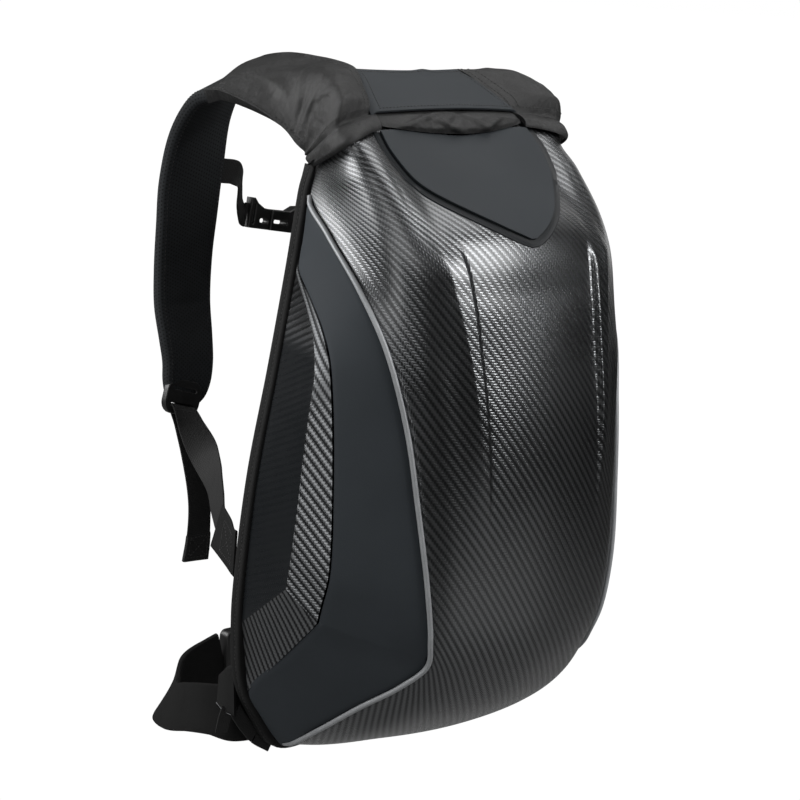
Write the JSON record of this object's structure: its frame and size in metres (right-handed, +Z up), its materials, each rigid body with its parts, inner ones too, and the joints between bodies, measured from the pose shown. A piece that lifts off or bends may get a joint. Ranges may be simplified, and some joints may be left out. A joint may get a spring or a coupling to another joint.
{
  "type": "motorcycle backpack",
  "caption": "Hard-shell motorcycle backpack with a ribbed carbon-look front, faceted sides, reflective piping, padded straps, chest strap and waist belt, in its worn form.",
  "frame": {"origin": "middle of the back pad's rear face, where the pack lies on the wearer's back", "axes": "+Z up, +Y from the pack to the wearer, +X to the wearer's right; the shell faces -Y"},
  "size_m": [0.325, 0.348, 0.5595],
  "materials": {
    "carbon": "satin carbon-look twill",
    "shield": "smooth matte",
    "matte_panel": "fine-grained matte",
    "nylon": "plain-woven nylon",
    "back_mesh": "padded air mesh",
    "belt_fabric": "nylon belt band",
    "webbing": "ribbed nylon webbing",
    "plastic": "moulded black plastic",
    "reflective": "grey reflective piping"
  },
  "bodies": {
    "root": {"front_shell": "carbon", "shield_panel": "shield", "edge_binding": "nylon", "back_panel": "back_mesh", "top_panel": "shield", "handle_gusset": "nylon", "sternum_webbing_left": "webbing", "sternum_webbing_right": "webbing", "sternum_socket": "plastic", "sternum_plug": "plastic", "belt_buckle": "plastic", "side_panel_left": "matte_panel", "side_panel_right": "matte_panel", "side_inset_left": "carbon", "side_inset_right": "carbon", "piping_left": "reflective", "piping_right": "reflective", "yoke_left": "nylon", "yoke_right": "nylon", "shoulder_strap_left": "back_mesh", "shoulder_strap_right": "back_mesh", "strap_lock_left": "plastic", "strap_lock_right": "plastic", "strap_tail_left": "webbing", "strap_tail_right": "webbing", "strap_webbing_left": "webbing", "strap_webbing_right": "webbing", "strap_anchor_left": "nylon", "strap_anchor_right": "nylon", "belt_left": "belt_fabric", "belt_right": "belt_fabric", "hip_tab_left": "nylon", "hip_tab_right": "nylon", "belt_loop_left": "webbing", "belt_loop_right": "webbing"}
  },
  "joints": []
}
